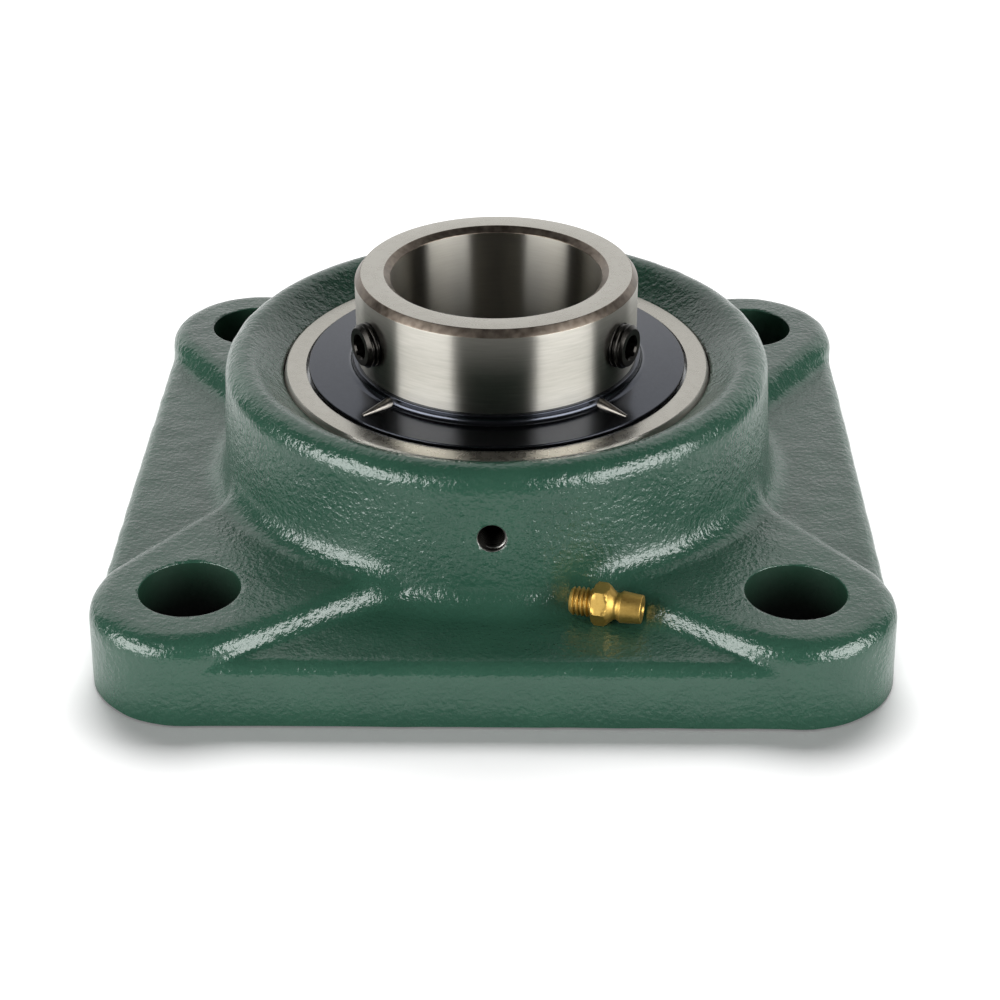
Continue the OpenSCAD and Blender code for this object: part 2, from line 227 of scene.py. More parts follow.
def machined_iron():
    """Grey cast iron faced on a lathe: dull grey with close turning rings."""
    made, tree, shader, spot = start_material("turned_grey_iron", Metallic=1.0, Roughness=0.42)
    rings = add(tree, "ShaderNodeTexWave", {"Vector": spot, "Scale": per(1.2) / 20, "Distortion": 0.2},
                wave_type="RINGS", rings_direction="Z")
    specks = add(tree, "ShaderNodeTexNoise", {"Vector": spot, "Scale": per(0.8), "Detail": 2.0})
    tint = add(tree, "ShaderNodeMix", {"Factor": specks.outputs["Fac"], "A": linear("#6f6f6c"),
                                       "B": linear("#9a9995")}, data_type="RGBA")
    tree.links.new(tint.outputs["Result"], shader.inputs["Base Color"])
    relief = add(tree, "ShaderNodeBump", {"Height": rings.outputs["Fac"], "Strength": 0.4,
                                          "Distance": 0.05 * MM})
    tree.links.new(relief.outputs["Normal"], shader.inputs["Normal"])
    return made


def ground_steel(name, dark, light, roughness, unevenness):
    """Bearing steel ground while it turns: bright, with fine rings that draw light out into bands."""
    made, tree, shader, spot = start_material(name, Metallic=1.0, Anisotropic=1.0,
                                               Anisotropic_Rotation=0.25)
    squeeze = add(tree, "ShaderNodeMapping", {"Vector": spot, "Scale": (0.06, 0.06, 1.0)})
    lines = add(tree, "ShaderNodeTexNoise", {"Vector": squeeze.outputs["Vector"], "Scale": per(0.35),
                                             "Detail": 4.0, "Roughness": 0.6})
    tint = add(tree, "ShaderNodeMix", {"Factor": lines.outputs["Fac"], "A": linear(dark),
                                       "B": linear(light)}, data_type="RGBA")
    tree.links.new(tint.outputs["Result"], shader.inputs["Base Color"])
    gloss = add(tree, "ShaderNodeMapRange", {"Value": lines.outputs["Fac"], "To Min": roughness - unevenness,
                                             "To Max": roughness + unevenness})
    tree.links.new(gloss.outputs["Result"], shader.inputs["Roughness"])
    turning = add(tree, "ShaderNodeTangent", direction_type="RADIAL", axis="Z")
    tree.links.new(turning.outputs["Tangent"], shader.inputs["Tangent"])
    return made


def plain_metal(name, dark, light, roughness, grain_mm, relief_mm):
    """A metal finish with a fine uneven grain in its colour, its gloss and its surface."""
    made, tree, shader, spot = start_material(name, Metallic=1.0)
    grain = add(tree, "ShaderNodeTexNoise", {"Vector": spot, "Scale": per(grain_mm), "Detail": 4.0})
    tint = add(tree, "ShaderNodeMix", {"Factor": grain.outputs["Fac"], "A": linear(dark),
                                       "B": linear(light)}, data_type="RGBA")
    tree.links.new(tint.outputs["Result"], shader.inputs["Base Color"])
    gloss = add(tree, "ShaderNodeMapRange", {"Value": grain.outputs["Fac"], "To Min": roughness * 0.8,
                                             "To Max": roughness * 1.25})
    tree.links.new(gloss.outputs["Result"], shader.inputs["Roughness"])
    relief = add(tree, "ShaderNodeBump", {"Height": grain.outputs["Fac"], "Strength": 0.5,
                                          "Distance": relief_mm * MM})
    tree.links.new(relief.outputs["Normal"], shader.inputs["Normal"])
    return made


def seal_rubber():
    """Nitrile rubber: near black and matt, with a faint moulded grain."""
    made, tree, shader, spot = start_material("nitrile_rubber", IOR=1.52)
    grain = add(tree, "ShaderNodeTexNoise", {"Vector": spot, "Scale": per(0.5), "Detail": 3.0})
    tint = add(tree, "ShaderNodeMix", {"Factor": grain.outputs["Fac"], "A": linear("#141414"),
                                       "B": linear("#232323")}, data_type="RGBA")
    tree.links.new(tint.outputs["Result"], shader.inputs["Base Color"])
    shader.inputs["Roughness"].default_value = 0.65
    return made


GREEN = green_enamel()
SHADED_HOLE_GREEN = hole_enamel()
IRON = machined_iron()
# Ground outside of both rings: bright, drawn out in bands
RING_STEEL = ground_steel("ground_bearing_steel", "#a09d95", "#c4c1b9", roughness=0.3, unevenness=0.03)
# The bore is ground finer, so its bands are smoother; its base colour is darker than the outside's, as
# painted shade down the bore
BORE_STEEL = ground_steel("fine_ground_bore_steel", "#9a978f", "#a9a69e",
                          roughness=0.3, unevenness=0.008)
# End faces are faced flat: pale and even, without bands
FACED_STEEL = plain_metal("faced_bearing_steel", "#9a978f", "#b0ada5",
                          roughness=0.27, grain_mm=1.6, relief_mm=0.001)
# Chamfers keep a coarser turned skin; their dark brown is painted reflection and shade
CHAMFER_STEEL = plain_metal("stained_chamfer_steel", "#2b221b", "#94897d",
                            roughness=0.36, grain_mm=1.4, relief_mm=0.006)
# Tapped iron painted near black, as painted shade down the hole
SHADED_TAPPED_IRON = plain_metal("oily_tapped_iron", "#0b0b0a", "#191816",
                        roughness=0.5, grain_mm=0.3, relief_mm=0.004)
# The ribs are a paler grey steel than the black coat around them
RIB_STEEL = plain_metal("rubbed_rib_steel", "#5a5753", "#807c76",
                        roughness=0.3, grain_mm=0.6, relief_mm=0.004)
# Black coat on pressed sheet: blue-black, with a satin shine that mirrors the ring softly
FLINGER_STEEL = plain_metal("satin_black_pressed_steel", "#3a3c42", "#494c53",
                            roughness=0.2, grain_mm=0.5, relief_mm=0.004)
# Polished chrome steel: the balls are the brightest metal here, almost without grain
BALL_STEEL = plain_metal("polished_ball_steel", "#cfcfcd", "#dddddb",
                         roughness=0.08, grain_mm=0.4, relief_mm=0.0005)
# Pressed strip steel: grey with a soft rolled grain
CAGE_STEEL = plain_metal("pressed_strip_steel", "#9d9b97", "#b9b7b2",
                         roughness=0.3, grain_mm=0.6, relief_mm=0.004)
# Zinc-plated seal core: pale grey with a dull spangle
SEAL_STEEL = plain_metal("zinc_plated_sheet", "#a9abad", "#c4c6c7",
                         roughness=0.34, grain_mm=0.9, relief_mm=0.004)
# Black oxide on alloy steel: almost black, with a slight oily shine
BLACK_OXIDE = plain_metal("black_oxide_steel", "#1f1e1d", "#3a3835",
                          roughness=0.3, grain_mm=0.3, relief_mm=0.006)
# Free-cutting brass, turned: warm gold, bright on its edges
BRASS = plain_metal("turned_brass", "#a5833c", "#c9aa62", roughness=0.45, grain_mm=0.3, relief_mm=0.004)
# Bright wire: drawn smooth
WIRE = plain_metal("drawn_spring_wire", "#b5b5b3", "#cacac8",
                   roughness=0.22, grain_mm=0.2, relief_mm=0.001)
RUBBER = seal_rubber()


# Mesh helpers
def make_object(name, points_mm, faces, materials):
    """Makes a mesh object at the origin from points in millimetres."""
    mesh = bpy.data.meshes.new(name)
    mesh.from_pydata((np.asarray(points_mm) * MM).tolist(), [], faces)
    for material in materials:
        mesh.materials.append(material)
    made = bpy.data.objects.new(name, mesh)
    bpy.context.scene.collection.objects.link(made)
    return made


def finish_mesh(made, sharp_degrees=32):
    """Merges doubled points, turns the faces outwards and shades smooth up to real edges."""
    work = bmesh.new()
    work.from_mesh(made.data)
    bmesh.ops.remove_doubles(work, verts=work.verts, dist=1e-6)
    bmesh.ops.recalc_face_normals(work, faces=work.faces)
    work.to_mesh(made.data)
    work.free()
    made.data.shade_smooth()
    made.data.set_sharp_from_angle(angle=math.radians(sharp_degrees))
    return made


def rounded(corners, arc_steps=5):
    """Turns (r, z, rounding) corners of a closed section into points, with an arc at each rounding."""
    points = []
    count = len(corners)
    for i, (r, z, size) in enumerate(corners):
        here = np.array([r, z], float)
        if size == 0:
            points.append(here)
            continue
        before = np.array(corners[i - 1][:2], float) - here
        after = np.array(corners[(i + 1) % count][:2], float) - here
        before /= np.hypot(*before)
        after /= np.hypot(*after)
        half_angle = math.acos(np.clip(before @ after, -1, 1)) / 2
        bisector = before + after
        bisector /= np.hypot(*bisector)
        centre = here + bisector * size / math.sin(half_angle)
        first = here + before * size / math.tan(half_angle) - centre
        last = here + after * size / math.tan(half_angle) - centre
        start = math.atan2(first[1], first[0])
        sweep = math.atan2(first[0] * last[1] - first[1] * last[0], first @ last)
        for step in range(arc_steps + 1):
            angle = start + sweep * step / arc_steps
            points.append(centre + size * np.array([math.cos(angle), math.sin(angle)]))
    return points


def arc(centre, radius, start, end, steps):
    """Gives sharp section corners along an arc, with angles in degrees."""
    angles = np.radians(np.linspace(start, end, steps + 1))
    return [(centre[0] + radius * math.cos(a), centre[1] + radius * math.sin(a), 0) for a in angles]


def turned(name, section, segments, materials, across=None):
    """Turns a closed (r, z) section round Z. across, where given, is a function of r, z and angle."""
    section = np.asarray(section, float)
    angles = np.arange(segments) * 2 * math.pi / segments
    r = np.repeat(section[:, :1], segments, 1)
    z = np.repeat(section[:, 1:2], segments, 1)
    if across:
        r = across(r, z, angles[None, :])
    points = np.stack([r * np.cos(angles), r * np.sin(angles), z], 2).reshape(-1, 3)
    rows = len(section)
    faces = []
    for i in range(rows):
        for j in range(segments):
            k = (j + 1) % segments
            n = (i + 1) % rows
            faces.append((i * segments + j, i * segments + k, n * segments + k, n * segments + j))
    return make_object(name, points, faces, materials)


def to_plain_mesh(made):
    """Turns an object and its modifiers into one plain mesh."""
    bpy.context.view_layer.update()
    graph = bpy.context.evaluated_depsgraph_get()
    result = bpy.data.meshes.new_from_object(made.evaluated_get(graph))
    made.modifiers.clear()
    made.data = result
    return made


def combine(made, others, operation):
    """Cuts others out of a piece or joins them to it; their faces keep their own materials."""
    for other in others:
        step = made.modifiers.new("combine", "BOOLEAN")
        step.operation = operation
        step.solver = "MANIFOLD"
        step.object = other
        step.material_mode = "TRANSFER"
    to_plain_mesh(made)
    for other in others:
        bpy.data.objects.remove(other)
    return made


def paint(made, material, chosen):
    """Gives a material to the faces that chosen picks by their middle (r, z) and their normal."""
    made.data.materials.append(material)
    for face in made.data.polygons:
        x, y, z = face.center / MM
        if chosen(math.hypot(x, y), z, face.normal):
            face.material_index = len(made.data.materials) - 1
    return made


def block(name, low, high, material):
    """Makes a box-shaped cutter."""
    points = [(x, y, z) for x in (low[0], high[0]) for y in (low[1], high[1]) for z in (low[2], high[2])]
    faces = [(0, 1, 3, 2), (4, 6, 7, 5), (0, 4, 5, 1), (2, 3, 7, 6), (0, 2, 6, 4), (1, 5, 7, 3)]
    return make_object(name, points, faces, [material])


def rod(name, section, segments, material):
    """Turns an open section, from the axis back to the axis, into a closed cutter."""
    return finish_mesh(turned(name, section, segments, [material]))


def place(made, matrix):
    """Puts a piece in its place, in its mesh."""
    made.data.transform(matrix)
    return made


def shift_mm(x, y, z):
    """Gives a move in millimetres."""
    return Matrix.Translation(Vector((x, y, z)) * MM)


# Screw threads, cut by a node tree into any turned piece whose axis is Z
def thread_tree():
    """Tree that presses a helical groove into a round surface and fades it out at both ends."""
    tree = bpy.data.node_groups.new("cut_thread", "GeometryNodeTree")
    tree.interface.new_socket("Geometry", in_out="INPUT", socket_type="NodeSocketGeometry")
    for label in ("Pitch", "Depth", "Start", "End", "Run Out", "Least Radius"):
        tree.interface.new_socket(label, in_out="INPUT", socket_type="NodeSocketFloat")
    tree.interface.new_socket("Material", in_out="INPUT", socket_type="NodeSocketMaterial")
    tree.interface.new_socket("Geometry", in_out="OUTPUT", socket_type="NodeSocketGeometry")
    given = add(tree, "NodeGroupInput").outputs
    spot = add(tree, "GeometryNodeInputPosition").outputs["Position"]
    split = add(tree, "ShaderNodeSeparateXYZ", {0: spot}).outputs
    angle = add(tree, "ShaderNodeMath", {0: split["Y"], 1: split["X"]}, operation="ARCTAN2")
    turn = add(tree, "ShaderNodeMath", {0: angle.outputs[0], 1: 2 * math.pi}, operation="DIVIDE")
    rise = add(tree, "ShaderNodeMath", {0: split["Z"], 1: given["Pitch"]}, operation="DIVIDE")
    phase = add(tree, "ShaderNodeMath", {0: rise.outputs[0], 1: turn.outputs[0]}, operation="SUBTRACT")
    flank = add(tree, "ShaderNodeMath", {0: phase.outputs[0], 1: 0.5}, operation="PINGPONG")
    groove = add(tree, "ShaderNodeMapRange", {"Value": flank.outputs[0], "From Min": 0.08, "From Max": 0.42},
                 interpolation_type="SMOOTHSTEP")
    begin = add(tree, "ShaderNodeMath", {0: given["Start"], 1: given["Run Out"]}, operation="ADD")
    fade_in = add(tree, "ShaderNodeMapRange", {"Value": split["Z"], "From Min": given["Start"],
                                               "From Max": begin.outputs[0]})
    stop = add(tree, "ShaderNodeMath", {0: given["End"], 1: given["Run Out"]}, operation="SUBTRACT")
    fade_out = add(tree, "ShaderNodeMapRange", {"Value": split["Z"], "From Min": given["End"],
                                                "From Max": stop.outputs[0]})
    fade = add(tree, "ShaderNodeMath", {0: fade_in.outputs[0], 1: fade_out.outputs[0]}, operation="MULTIPLY")
    flat = add(tree, "ShaderNodeCombineXYZ", {"X": split["X"], "Y": split["Y"]})
    radius = add(tree, "ShaderNodeVectorMath", {0: flat.outputs[0]}, operation="LENGTH")
    outside = add(tree, "ShaderNodeMath", {0: radius.outputs["Value"], 1: given["Least Radius"]},
                  operation="GREATER_THAN")
    inwards = add(tree, "ShaderNodeVectorMath", {0: flat.outputs[0]}, operation="NORMALIZE")
    depth = add(tree, "ShaderNodeMath", {0: groove.outputs[0], 1: given["Depth"]}, operation="MULTIPLY")
    faded = add(tree, "ShaderNodeMath", {0: depth.outputs[0], 1: fade.outputs[0]}, operation="MULTIPLY")
    kept = add(tree, "ShaderNodeMath", {0: faded.outputs[0], 1: outside.outputs[0]}, operation="MULTIPLY")
    back = add(tree, "ShaderNodeMath", {0: kept.outputs[0], 1: -1.0}, operation="MULTIPLY")
    move = add(tree, "ShaderNodeVectorMath", {0: inwards.outputs[0], "Scale": back.outputs[0]},
               operation="SCALE")
    moved = add(tree, "GeometryNodeSetPosition", {"Geometry": given["Geometry"], "Offset": move.outputs[0]})
    solid = add(tree, "GeometryNodeRealizeInstances", {"Geometry": moved.outputs[0]})
    dressed = add(tree, "GeometryNodeSetMaterial", {"Geometry": solid.outputs[0],
                                                    "Material": given["Material"]})
    add(tree, "NodeGroupOutput", {"Geometry": dressed.outputs[0]})
    return tree


THREAD = thread_tree()


def run_tree(made, tree, material, **sizes_mm):
    """Runs a node tree on a piece; sizes are named as the tree's inputs are."""
    step = made.modifiers.new(tree.name, "NODES")
    step.node_group = tree
    for item in tree.interface.items_tree:
        label = item.name.lower().replace(" ", "_")
        if label in sizes_mm:
            step[item.identifier] = sizes_mm[label] * MM
        if label == "material":
            step[item.identifier] = material
    return to_plain_mesh(made)


# Coil spring of round wire, wound up along Z
def spring_tree():
    """Tree that draws a round wire along a spiral and closes its ends."""
    tree = bpy.data.node_groups.new("wind_spring", "GeometryNodeTree")
    for label in ("Coil Radius", "Wire Radius", "Pitch", "Length"):
        tree.interface.new_socket(label, in_out="INPUT", socket_type="NodeSocketFloat")
    tree.interface.new_socket("Material", in_out="INPUT", socket_type="NodeSocketMaterial")
    tree.interface.new_socket("Geometry", in_out="OUTPUT", socket_type="NodeSocketGeometry")
    given = add(tree, "NodeGroupInput").outputs
    turns = add(tree, "ShaderNodeMath", {0: given["Length"], 1: given["Pitch"]}, operation="DIVIDE")
    path = add(tree, "GeometryNodeCurveSpiral", {"Resolution": 24, "Rotations": turns.outputs[0],
                                                 "Start Radius": given["Coil Radius"],
                                                 "End Radius": given["Coil Radius"],
                                                 "Height": given["Length"]})
    section = add(tree, "GeometryNodeCurvePrimitiveCircle", {"Resolution": 10,
                                                             "Radius": given["Wire Radius"]})
    wire = add(tree, "GeometryNodeCurveToMesh", {"Curve": path.outputs["Curve"],
                                                 "Profile Curve": section.outputs["Curve"],
                                                 "Fill Caps": True})
    solid = add(tree, "GeometryNodeRealizeInstances", {"Geometry": wire.outputs[0]})
    dressed = add(tree, "GeometryNodeSetMaterial", {"Geometry": solid.outputs[0],
                                                    "Material": given["Material"]})
    add(tree, "NodeGroupOutput", {"Geometry": dressed.outputs[0]})
    return tree


SPRING = spring_tree()


# Distance helpers for the casting, which is one rounded solid
def round_union(a, b, radius):
    """Joins two distances, with a fillet between them."""
    hollow = np.hypot(np.maximum(radius - a, 0), np.maximum(radius - b, 0))
    return np.maximum(radius, np.minimum(a, b)) - hollow


def round_cut(a, b, radius):
    """Keeps what both distances share, with a rounded edge between them."""
    corner = np.hypot(np.maximum(radius + a, 0), np.maximum(radius + b, 0))
    return np.minimum(-radius, np.maximum(a, b)) + corner


def above_line(r, z, low, high):
    """Distance of (r, z) above the line from low to high."""
    along = np.array(high) - np.array(low)
    along = along / np.hypot(*along)
    return along[0] * (z - low[1]) - along[1] * (r - low[0])


def sand_waves(x, y, z):
    """Slow waves that sand leaves in a casting, from seeded waves in all directions."""
    draw = np.random.default_rng(11)
    total = np.zeros(np.broadcast(x, y, z).shape)
    wave_count = 26
    for _ in range(wave_count):
        way = draw.normal(size=3)
        way = way / np.linalg.norm(way) * 2 * math.pi / draw.uniform(4.5, 13.0)
        total += np.sin(way[0] * x + way[1] * y + way[2] * z + draw.uniform(0, 2 * math.pi))
    return np.tanh(total / math.sqrt(wave_count))


def casting_field(x, y, z):
    """Distance in millimetres to the casting's outside, before it is machined."""
    ax, ay = np.abs(x), np.abs(y)
    qx, qy = ax - BOLT_HALF, ay - BOLT_HALF
    square = np.hypot(np.maximum(qx, 0), np.maximum(qy, 0)) + np.minimum(np.maximum(qx, qy), 0)
    plate_side = square - (CORNER_R - 0.15) + SIDE_DRAFT * z / PLATE_T
    plate = round_cut(plate_side, z - PLATE_T, PLATE_EDGE_R)
    pad_s = BOLT_HALF * math.sqrt(2)
    s = (ax + ay) / math.sqrt(2) - pad_s
    t = np.abs(ay - ax) / math.sqrt(2)
    root_r = PAD_EDGE_R + SIDE_DRAFT + 1
    reach = (ARM_ROOT_S - pad_s, ARM_ROOT_HALF_W - root_r)
    arm_lean = math.acos((CORNER_R - root_r) / math.hypot(*reach))
    tangent = math.atan2(reach[1], reach[0]) - arm_lean
    side = s * math.cos(tangent) + t * math.sin(tangent)
    outward = s * math.sin(tangent) - t * math.cos(tangent)
    arm_side = np.where(outward > 0, np.hypot(s, t), side) - CORNER_R + SIDE_DRAFT * z / PAD_H
    arm = round_cut(arm_side, z - PAD_H, PAD_EDGE_R)
    r = np.hypot(x, y)
    shell = round_cut(r - WALL_R - (RIM_H - RIM_R - z) * WALL_DRAFT, z - RIM_H, RIM_R)
    dish = round_union(above_line(r, z, BAND_HIGH, SLOPE_HIGH), above_line(r, z, BAND_LOW, BAND_HIGH), 1.5)
    wall = round_cut(shell, dish, 1.2)
    foot_r = ARM_FOOT_R * np.clip((-plate_side - 0.5) / 6, 0.02, 1)
    body = round_union(plate, arm, foot_r)
    return round_union(body, wall, WALL_FOOT_R)


# Cast housing
def cast_housing():
    """Casting drawn from its distance field, then machined: foot, seat, slots, bolt holes and port."""
    voxel = 0.7
    wave_depth = 0.07
    below = -3.0
    margin = 2.1
    side = np.arange(-FLANGE_HALF - margin, FLANGE_HALF + margin, voxel)
    up = np.arange(below, RIM_H + margin, voxel)
    x, y, z = side[:, None, None], side[None, :, None], up[None, None, :]
    field = casting_field(x, y, z) + wave_depth * (1.2 + sand_waves(x, y, z))
    grid = openvdb.FloatGrid(margin)
    grid.copyFromArray(np.ascontiguousarray(field, dtype=np.float32))
    points, quads = grid.convertToQuads()
    points = points * voxel + np.array([side[0], side[0], up[0]])
    casting = make_object("cast_housing", points, quads.tolist(), [GREEN])
    finish_mesh(casting, 60)
    far = FLANGE_HALF + 20
    floor_cut = block("floor_cut", (-far, -far, below - 20), (far, far, 0), IRON)
    seat_low = CENTRE_H - math.sqrt(SEAT_R ** 2 - SEAT_BACK_R ** 2)
    groove_z = CENTRE_H + OUTER_HALF_W - SEAL_REBATE_DEPTH - 1.6 - 2.8
    groove_r = SEAT_R + GREASE_GROOVE_DEPTH
    groove_top = groove_z + GREASE_GROOVE_W
    mouth_angle = math.degrees(math.acos(MOUTH_R / SEAT_R))
    seat_angle = math.degrees(math.acos(SEAT_BACK_R / SEAT_R))
    low_groove = math.degrees(math.asin((groove_z - CENTRE_H) / SEAT_R))
    high_groove = math.degrees(math.asin((groove_top - CENTRE_H) / SEAT_R))
    opening = [(0, -4, 0), (BACK_POCKET_R, -4, 0), (BACK_POCKET_R, BACK_POCKET_H, 0.6),
               (SEAT_BACK_R, BACK_POCKET_H, 0), (SEAT_BACK_R, seat_low, 0)]
    opening += arc((0, CENTRE_H), SEAT_R, -seat_angle, low_groove, 24)
    opening += [(groove_r, groove_z, 0), (groove_r, groove_top, 0)]
    opening += arc((0, CENTRE_H), SEAT_R, high_groove, mouth_angle, 6)
    opening += [(MOUTH_R, RIM_H + 6, 0), (0, RIM_H + 6, 0)]
    seat_cut = rod("seat_cut", rounded(opening), 192, IRON)
    slot_half = OUTER_HALF_W + 0.4
    slot_cut = block("slot_cut", (-SEAT_R - 0.15, -slot_half, -5), (SEAT_R + 0.15, slot_half, CENTRE_H), IRON)
    lip_low = PAD_H - BOLT_EDGE_R - 0.08
    lip_r = BOLT_HOLE_R + BOLT_EDGE_R
    bolt_section = [(0, -4, 0), (BOLT_HOLE_R, -4, 0)]
    bolt_section += arc((lip_r, lip_low), BOLT_EDGE_R, 180, 95, 6)
    bolt_section += [(lip_r + 1.5, PAD_H + 4, 0), (0, PAD_H + 4, 0)]
    bolt_cuts = []
    for bx in (-1, 1):
        for by in (-1, 1):
            # Bolt holes take enamel painted darker towards the bottom: painted shade
            hole = rod("bolt_hole_cut", rounded(bolt_section), 64, SHADED_HOLE_GREEN)
            paint(hole, GREEN, lambda r, z, normal: z > lip_low)
            bolt_cuts.append(place(hole, shift_mm(bx * BOLT_HALF, by * BOLT_HALF, 0)))
    return combine(casting, [floor_cut, seat_cut, slot_cut] + bolt_cuts + port_cuts(), "DIFFERENCE")


# Tapped grease port, cut along its own axis and then laid towards the front
def port_cuts():
    """Cutters of the tapped hole and of its countersunk mouth."""
    wall_r = WALL_R + (RIM_H - RIM_R - PORT_Z) * WALL_DRAFT
    thread_depth = 0.4
    start = SEAT_R - 2
    face = wall_r - start
    thread_step = 0.08
    thread_r = PORT_R + thread_depth
    section = [(0, 0), (thread_r, 0)]
    section += [(thread_r, u) for u in np.arange(thread_step, face + 1, thread_step)]
    section += [(thread_r, face + 2), (0, face + 2)]
    # The tapped thread is painted near black: painted shade
    tapped = rod("port_thread_cut", section, 72, SHADED_TAPPED_IRON)
    run_tree(tapped, THREAD, SHADED_TAPPED_IRON, pitch=NIPPLE_PITCH, depth=thread_depth, start=-1.0, end=face + 3,
             run_out=0.2, least_radius=thread_r * 0.9)
    flare = [(0, face - 0.9), (PORT_R - 0.1, face - 0.9), (PORT_R + 0.1, face - 0.6),
             (thread_r + 0.1, face - 0.1), (thread_r + 0.6, face + 2), (0, face + 2)]
    mouth = rod("port_mouth_cut", flare, 72, IRON)
    lay = shift_mm(0, -start, PORT_Z) @ Matrix.Rotation(math.radians(90), 4, "X")
    return [place(tapped, lay), place(mouth, lay)]


# Rings of the insert; a face counts as an end face where its normal stands this upright
FLAT = 0.97


def outer_ring():
    """Ring with a spherical outside, a race inside and a seal rebate at each end."""
    shoulder = OUTER_HALF_W - SEAL_REBATE_DEPTH
    race_centre = PITCH_R + BALL_R + RACE_GAP - RACE_R
    race_half = math.degrees(math.acos((LAND_R - race_centre) / RACE_R))
    sphere_half = math.degrees(math.asin((OUTER_HALF_W - 1.4 * RING_EDGE) / SPHERE_R))
    edge = 0.12
    section = arc((0, 0), SPHERE_R, -sphere_half, sphere_half, 20)
    section += [(FACE_R - RING_EDGE, OUTER_HALF_W, edge), (REBATE_R, OUTER_HALF_W, edge),
                (REBATE_R, shoulder, 0), (LAND_R, shoulder, edge)]
    section += arc((race_centre, 0), RACE_R, race_half, -race_half, 16)
    section += [(LAND_R, -shoulder, edge), (REBATE_R, -shoulder, 0), (REBATE_R, -OUTER_HALF_W, edge),
                (FACE_R - RING_EDGE, -OUTER_HALF_W, edge)]
    made = finish_mesh(turned("outer_race", rounded(section), 256, [RING_STEEL]))
    paint(made, FACED_STEEL, lambda r, z, normal: abs(normal.z) > FLAT)
    return place(made, shift_mm(0, 0, CENTRE_H))


def inner_ring():
    """Long ring with the shaft bore, a race outside and two screw holes."""
    chamfer = 1.0
    bore_chamfer = 1.2
    edge = 0.25
    race_centre = PITCH_R - BALL_R - RACE_GAP + RACE_R
    race_half = math.degrees(math.acos((race_centre - RING_R) / RACE_R))
    section = [(BORE_R, RING_BOTTOM + 0.8 * bore_chamfer, edge), (BORE_R + bore_chamfer, RING_BOTTOM, edge),
               (RING_R - chamfer, RING_BOTTOM, edge), (RING_R, RING_BOTTOM + chamfer, edge)]
    section += arc((race_centre, CENTRE_H), RACE_R, 180 + race_half, 180 - race_half, 16)
    section += [(RING_R, RING_TOP - 1.3 * chamfer, edge), (RING_R - chamfer, RING_TOP, edge),
                (BORE_R + bore_chamfer, RING_TOP, edge), (BORE_R, RING_TOP - 0.8 * bore_chamfer, edge)]
    made = finish_mesh(turned("inner_race", rounded(section), 256, [RING_STEEL]))
    chamfers = (RING_BOTTOM + 2 * chamfer, RING_TOP - 2 * chamfer)
    # The bore takes steel painted darker as painted shade
    paint(made, BORE_STEEL, lambda r, z, normal: r < BORE_R + 0.1)
    # The chamfers take dark brown painted reflection and shade
    paint(made, CHAMFER_STEEL, lambda r, z, normal: not chamfers[0] < z < chamfers[1] and abs(normal.z) > 0.2)
    paint(made, FACED_STEEL, lambda r, z, normal: abs(normal.z) > FLAT)
    holes = []
    hole_r = SCREW_R + 0.05
    for side in (-1, 1):
        hole = rod("screw_hole_cut", [(0, BORE_R - 3), (hole_r, BORE_R - 3), (hole_r, RING_R + 3),
                                      (0, RING_R + 3)], 72, RING_STEEL)
        holes.append(place(hole, screw_place(side)))
    combine(made, holes, "DIFFERENCE")
    made.data.set_sharp_from_angle(angle=math.radians(32))
    return made


def flinger_ribs(side, height, base_r):
    """Tapered ribs from the collar outwards, sunk into the sheet only as deep as it is thick."""
    start = RING_R + 0.3
    length = REBATE_R - FLINGER_GAP - 1.7 - start
    ribs = []
    for turn in (45, 135, 225, 315):
        rib = rod("flinger_rib", [(0, 0), (base_r, 0), (0.3, length), (0, length)], 48, RIB_STEEL)
        for point in rib.data.vertices:
            point.co.x = max(point.co.x, -FLINGER_T / 2 * MM)
        lay = Matrix.Rotation(math.radians(turn), 4, "Z") @ shift_mm(start, 0, side * height)
        stand = Matrix(((0, 0, 1, 0), (0, side, 0, 0), (side, 0, 0, 0), (0, 0, 0, 1)))
        ribs.append(finish_mesh(place(rib, lay @ stand)))
    return ribs


def flinger(name, rise, side):
    """Pressed disc with a collar that grips the ring; side is 1 at the front and -1 at the rear."""
    top = OUTER_HALF_W + FLINGER_PROUD
    low = top - FLINGER_T
    grip = RING_R + 0.01
    neck = grip + FLINGER_T
    rim = REBATE_R - FLINGER_GAP
    fillet = min(COLLAR_W - FLINGER_T, rise - 0.3)
    section = [(grip, low, 0), (rim, low, 0.15), (rim, top, 0.2), (neck, top, fillet),
               (neck, top + rise, 0.25), (grip, top + rise, 0)]
    section = [(r, side * z, size) for r, z, size in section]
    made = finish_mesh(turned(name, rounded(section, 8), 256, [FLINGER_STEEL]))
    combine(made, flinger_ribs(side, top, min(RIB_H, rise - 0.1)), "UNION")
    made.data.set_sharp_from_angle(angle=math.radians(32))
    return place(made, shift_mm(0, 0, CENTRE_H))


# Set screws
def screw_place(side):
    """Lays an axis along Z out from the shaft's axis, at the screw's place in the ring."""
    spin = Matrix.Rotation(math.radians(-90 + side * SCREW_ANGLE), 4, "Z")
    return shift_mm(0, 0, SCREW_Z) @ spin @ Matrix.Rotation(math.radians(90), 4, "Y")


def hexagon(across_flats, angle):
    """Radius of a hexagon with a flat at angle 0."""
    return across_flats / 2 / np.cos((angle + math.pi / 6) % (math.pi / 3) - math.pi / 6)


